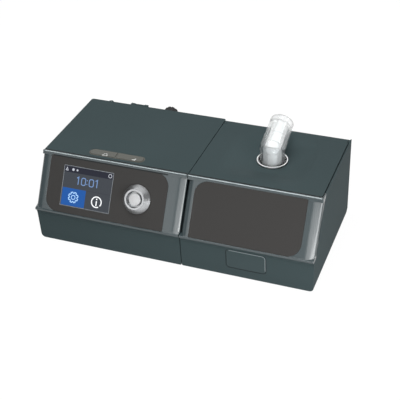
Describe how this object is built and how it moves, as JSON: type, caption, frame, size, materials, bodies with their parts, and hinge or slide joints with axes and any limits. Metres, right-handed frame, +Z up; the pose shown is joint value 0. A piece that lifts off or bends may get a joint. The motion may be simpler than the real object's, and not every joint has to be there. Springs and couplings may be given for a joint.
{
  "type": "bilevel pap machine",
  "caption": "Desktop bilevel breathing therapy machine: sloped screen, dial, top buttons and a docked humidifier with hinged lid and swivel air outlet.",
  "frame": {"origin": "middle of the footprint on the surface that the rubber feet stand on", "axes": "+X towards the humidifier side, +Y from the sloped front to the rear, +Z up"},
  "size_m": [0.265, 0.145, 0.1117],
  "materials": {
    "case_plastic": "satin moulded plastic with a fine grain",
    "frame_plastic": "satin moulded plastic, a little lighter than the case",
    "insert_plastic": "smooth warm dark grey",
    "inner_plastic": "plain black moulding",
    "smoke_plastic": "smoke grey translucent plastic",
    "white_plastic": "plain white moulding",
    "clear_plastic": "clear moulded plastic",
    "screen_glass": "dark glossy screen",
    "soft_black": "matt black rubber or foam",
    "seal_silicone": "translucent grey silicone",
    "filter_felt": "white pressed fibre",
    "circuit_board": "green circuit board lacquer",
    "brushed_metal": "brushed silver",
    "satin_metal": "satin silver",
    "bare_metal": "bright plated metal",
    "brass_pin": "plain brass"
  },
  "bodies": {
    "main_unit": {"main_case": "case_plastic", "main_top_cover": "case_plastic", "main_bezel": "frame_plastic", "control_panel": "insert_plastic", "screen_lens": "screen_glass", "display_module": "bare_metal", "control_board": "circuit_board", "knob_encoder": "inner_plastic", "button_frame": "smoke_plastic", "button_board": "circuit_board", "main_board": "circuit_board", "card_reader": "bare_metal", "blower_housing": "inner_plastic", "blower_cover": "inner_plastic", "blower_motor": "bare_metal", "motor_bearings": "bare_metal", "blower_grommets": "soft_black", "intake_muffler": "inner_plastic", "muffler_foam": "soft_black", "air_filter": "filter_felt", "door_hinge_pin": "bare_metal", "intake_duct": "soft_black", "outlet_duct": "soft_black", "outlet_spigot": "inner_plastic", "power_jack": "inner_plastic", "jack_pin": "brass_pin", "accessory_port": "inner_plastic", "dock_plug": "inner_plastic", "main_screws": "bare_metal", "main_feet": "soft_black"},
    "filter_door": {"filter_door": "case_plastic"},
    "card_flap": {"card_flap": "soft_black"},
    "port_cap": {"port_cap": "soft_black"},
    "knob_ring": {"knob_ring": "brushed_metal"},
    "knob_button": {"knob_button": "satin_metal"},
    "mute_button": {"mute_button": "smoke_plastic"},
    "ramp_button": {"ramp_button": "smoke_plastic"},
    "blower_rotor": {"motor_shaft": "bare_metal", "impeller": "white_plastic"},
    "humidifier": {"humid_case": "case_plastic", "humid_base_plate": "inner_plastic", "humid_bezel": "frame_plastic", "humid_window": "insert_plastic", "heater_plate": "bare_metal", "heater_seal": "seal_silicone", "humid_board": "circuit_board", "dock_socket": "inner_plastic", "inlet_seal": "seal_silicone", "water_tub": "clear_plastic", "tub_base_plate": "bare_metal", "tub_seal": "seal_silicone", "tub_lid": "clear_plastic", "lid_hinge_pins": "bare_metal", "humid_screws": "bare_metal", "humid_feet": "soft_black"},
    "lid_latch": {"lid_latch": "case_plastic"},
    "humid_lid": {"humid_lid": "case_plastic", "lid_catch": "bare_metal", "lid_seal": "seal_silicone"},
    "outlet_elbow": {"outlet_elbow": "clear_plastic"}
  },
  "joints": [
    {"name": "humidifier_dock", "type": "slide", "parent": "main_unit", "child": "humidifier", "axis": [1, 0, 0], "range_m": [0, 0.03]},
    {"name": "lid_hinge", "type": "hinge", "parent": "humidifier", "child": "humid_lid", "pos_m": [0.0714, 0.0543, 0.079], "axis": [-1, 0, 0], "range_deg": [0, 90]},
    {"name": "elbow_swivel", "type": "hinge", "parent": "humid_lid", "child": "outlet_elbow", "pos_m": [0.0714, 0.0085, 0.0778], "axis": [0, 0, 1], "continuous": true},
    {"name": "latch_press", "type": "slide", "parent": "humidifier", "child": "lid_latch", "axis": [0, 1, 0], "range_m": [0, 0.002], "stiffness_N_per_m": 600},
    {"name": "knob_turn", "type": "hinge", "parent": "main_unit", "child": "knob_ring", "pos_m": [-0.0339, -0.05887, 0.05769], "axis": [0, -0.8622, 0.5066], "continuous": true},
    {"name": "knob_press", "type": "slide", "parent": "main_unit", "child": "knob_button", "axis": [0, 0.8622, -0.5066], "range_m": [0, 0.0008], "stiffness_N_per_m": 800},
    {"name": "mute_press", "type": "slide", "parent": "main_unit", "child": "mute_button", "axis": [0, 0, -1], "range_m": [0, 0.0006], "stiffness_N_per_m": 800},
    {"name": "ramp_press", "type": "slide", "parent": "main_unit", "child": "ramp_button", "axis": [0, 0, -1], "range_m": [0, 0.0006], "stiffness_N_per_m": 800},
    {"name": "filter_door_hinge", "type": "hinge", "parent": "main_unit", "child": "filter_door", "pos_m": [-0.113, 0.0614, 0.0545], "axis": [0, 0, 1], "range_deg": [0, 100]},
    {"name": "card_flap_hinge", "type": "hinge", "parent": "main_unit", "child": "card_flap", "pos_m": [-0.1319, -0.006, 0.0081], "axis": [0, -1, 0], "range_deg": [0, 90]},
    {"name": "port_cap_pull", "type": "slide", "parent": "main_unit", "child": "port_cap", "axis": [0, 1, 0], "range_m": [0, 0.02]},
    {"name": "blower_spin", "type": "hinge", "parent": "main_unit", "child": "blower_rotor", "pos_m": [-0.028, 0.02, 0.036], "axis": [0, 0, 1], "continuous": true}
  ]
}
